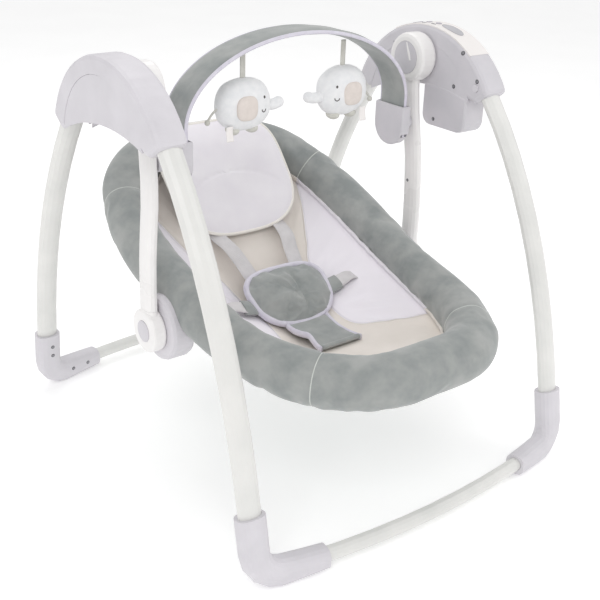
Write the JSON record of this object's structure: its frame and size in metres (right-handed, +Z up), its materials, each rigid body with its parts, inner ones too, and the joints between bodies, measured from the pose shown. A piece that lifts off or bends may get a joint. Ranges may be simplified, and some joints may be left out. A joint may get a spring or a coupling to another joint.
{
  "type": "baby swing",
  "caption": "Folding frame of curved legs that hangs a reclining padded bucket seat on swing arms, with a battery drive in one hub and a soft toy bar.",
  "frame": {"origin": "on the floor under the middle of the bounding box", "axes": "+Z up, -Y towards the foot end of the seat, +X towards the drive side"},
  "size_m": [0.577, 0.6858, 0.6044],
  "materials": {
    "bright_steel": "ground",
    "cell_wrap": "plain film",
    "circuit_board": "solder mask",
    "copper_winding": "enamelled wire",
    "dark_plastic": "satin",
    "grey_webbing": "woven webbing",
    "lilac_plastic": "satin",
    "painted_steel": "satin white paint",
    "sage_velvet": "short velvet pile",
    "toy_plush": "short plush",
    "white_cotton": "woven cotton",
    "white_plastic": "satin"
  },
  "bodies": {
    "front_frame": {"front_leg_left": "painted_steel", "front_leg_right": "painted_steel", "front_foot_left": "lilac_plastic", "front_foot_right": "lilac_plastic", "hub_arch_left": "lilac_plastic", "hub_arch_right": "lilac_plastic", "hub_side_cover_left": "lilac_plastic", "hub_side_cover_right": "lilac_plastic", "pivot_sleeve_left": "bright_steel", "pivot_sleeve_right": "bright_steel", "front_crossbar": "painted_steel", "hub_inner_cover_left": "lilac_plastic", "motor_housing": "lilac_plastic", "control_panel": "white_plastic", "battery_door": "lilac_plastic", "battery_1": "cell_wrap", "battery_2": "cell_wrap", "battery_3": "cell_wrap", "battery_4": "cell_wrap", "circuit_board": "circuit_board", "drive_coil": "copper_winding"},
    "rear_frame": {"rear_leg_left": "painted_steel", "rear_leg_right": "painted_steel", "rear_foot_left": "lilac_plastic", "rear_foot_right": "lilac_plastic", "rear_knuckle_left": "lilac_plastic", "rear_knuckle_right": "lilac_plastic", "rear_crossbar": "painted_steel"},
    "swing_arms": {"swing_arm_left": "white_plastic", "swing_arm_right": "white_plastic", "swing_shaft_left": "bright_steel", "swing_shaft_right": "bright_steel", "arm_head_cap_left": "lilac_plastic", "arm_head_cap_right": "lilac_plastic", "arm_hinge_left": "white_plastic", "arm_hinge_right": "white_plastic", "magnet_lever": "dark_plastic"},
    "seat": {"recline_housing_left": "lilac_plastic", "recline_housing_right": "lilac_plastic", "shoulder_strap_left": "grey_webbing", "shoulder_strap_right": "grey_webbing", "seat_tube_head": "painted_steel", "seat_tube_foot": "painted_steel", "seat_bolster": "sage_velvet", "seat_pad": "white_cotton", "crotch_pad": "sage_velvet", "belly_pad": "sage_velvet", "headrest": "white_cotton"},
    "toy_bar": {"toy_bar": "sage_velvet", "toy_bar_socket_left": "lilac_plastic", "toy_bar_socket_right": "lilac_plastic"},
    "left_toy": {"toy_elephant_left": "toy_plush"},
    "right_toy": {"toy_elephant_right": "toy_plush"},
    "left_recline_button": {"recline_button_left": "lilac_plastic"},
    "right_recline_button": {"recline_button_right": "lilac_plastic"},
    "left_leg_lock": {"leg_lock_button_left": "lilac_plastic"},
    "right_leg_lock": {"leg_lock_button_right": "lilac_plastic"},
    "volume_key": {"control_key_1": "lilac_plastic"},
    "speed_key": {"control_key_2": "lilac_plastic"},
    "timer_key": {"control_key_3": "lilac_plastic"}
  },
  "joints": [
    {"name": "fold", "type": "hinge", "parent": "front_frame", "child": "rear_frame", "pos_m": [0, 0.01275, 0.542], "axis": [1, 0, 0], "range_deg": [-48, 0]},
    {"name": "swing", "type": "hinge", "parent": "front_frame", "child": "swing_arms", "pos_m": [0, 0.01275, 0.542], "axis": [1, 0, 0], "range_deg": [-12, 12]},
    {"name": "recline", "type": "hinge", "parent": "swing_arms", "child": "seat", "pos_m": [0, -0.00125, 0.218], "axis": [1, 0, 0], "range_deg": [0, 12]},
    {"name": "toy_bar_tilt", "type": "hinge", "parent": "swing_arms", "child": "toy_bar", "pos_m": [0, 0.00475, 0.447], "axis": [1, 0, 0], "range_deg": [-45, 15]},
    {"name": "left_toy_swing", "type": "hinge", "parent": "toy_bar", "child": "left_toy", "pos_m": [-0.085, 0.00475, 0.58009], "axis": [1, 0, 0], "range_deg": [-30, 30]},
    {"name": "right_toy_swing", "type": "hinge", "parent": "toy_bar", "child": "right_toy", "pos_m": [0.085, 0.00475, 0.58009], "axis": [1, 0, 0], "range_deg": [-30, 30]},
    {"name": "left_recline_press", "type": "slide", "parent": "swing_arms", "child": "left_recline_button", "axis": [1, 0, 0], "range_m": [0, 0.002], "stiffness_N_per_m": 1500, "springref_m": -0.001},
    {"name": "right_recline_press", "type": "slide", "parent": "swing_arms", "child": "right_recline_button", "axis": [-1, 0, 0], "range_m": [0, 0.002], "stiffness_N_per_m": 1500, "springref_m": -0.001},
    {"name": "left_leg_lock_press", "type": "slide", "parent": "front_frame", "child": "left_leg_lock", "axis": [-1, 0, 0], "range_m": [0, 0.0015], "stiffness_N_per_m": 1500, "springref_m": -0.001},
    {"name": "right_leg_lock_press", "type": "slide", "parent": "front_frame", "child": "right_leg_lock", "axis": [1, 0, 0], "range_m": [0, 0.0015], "stiffness_N_per_m": 1500, "springref_m": -0.001},
    {"name": "volume_key_press", "type": "slide", "parent": "front_frame", "child": "volume_key", "axis": [0, -0.2225, -0.9749], "range_m": [0, 0.001], "stiffness_N_per_m": 1500, "springref_m": -0.001},
    {"name": "speed_key_press", "type": "slide", "parent": "front_frame", "child": "speed_key", "axis": [0, -0.0932, -0.9956], "range_m": [0, 0.001], "stiffness_N_per_m": 1500, "springref_m": -0.001},
    {"name": "timer_key_press", "type": "slide", "parent": "front_frame", "child": "timer_key", "axis": [0, 0.036, -0.9994], "range_m": [0, 0.001], "stiffness_N_per_m": 1500, "springref_m": -0.001}
  ]
}
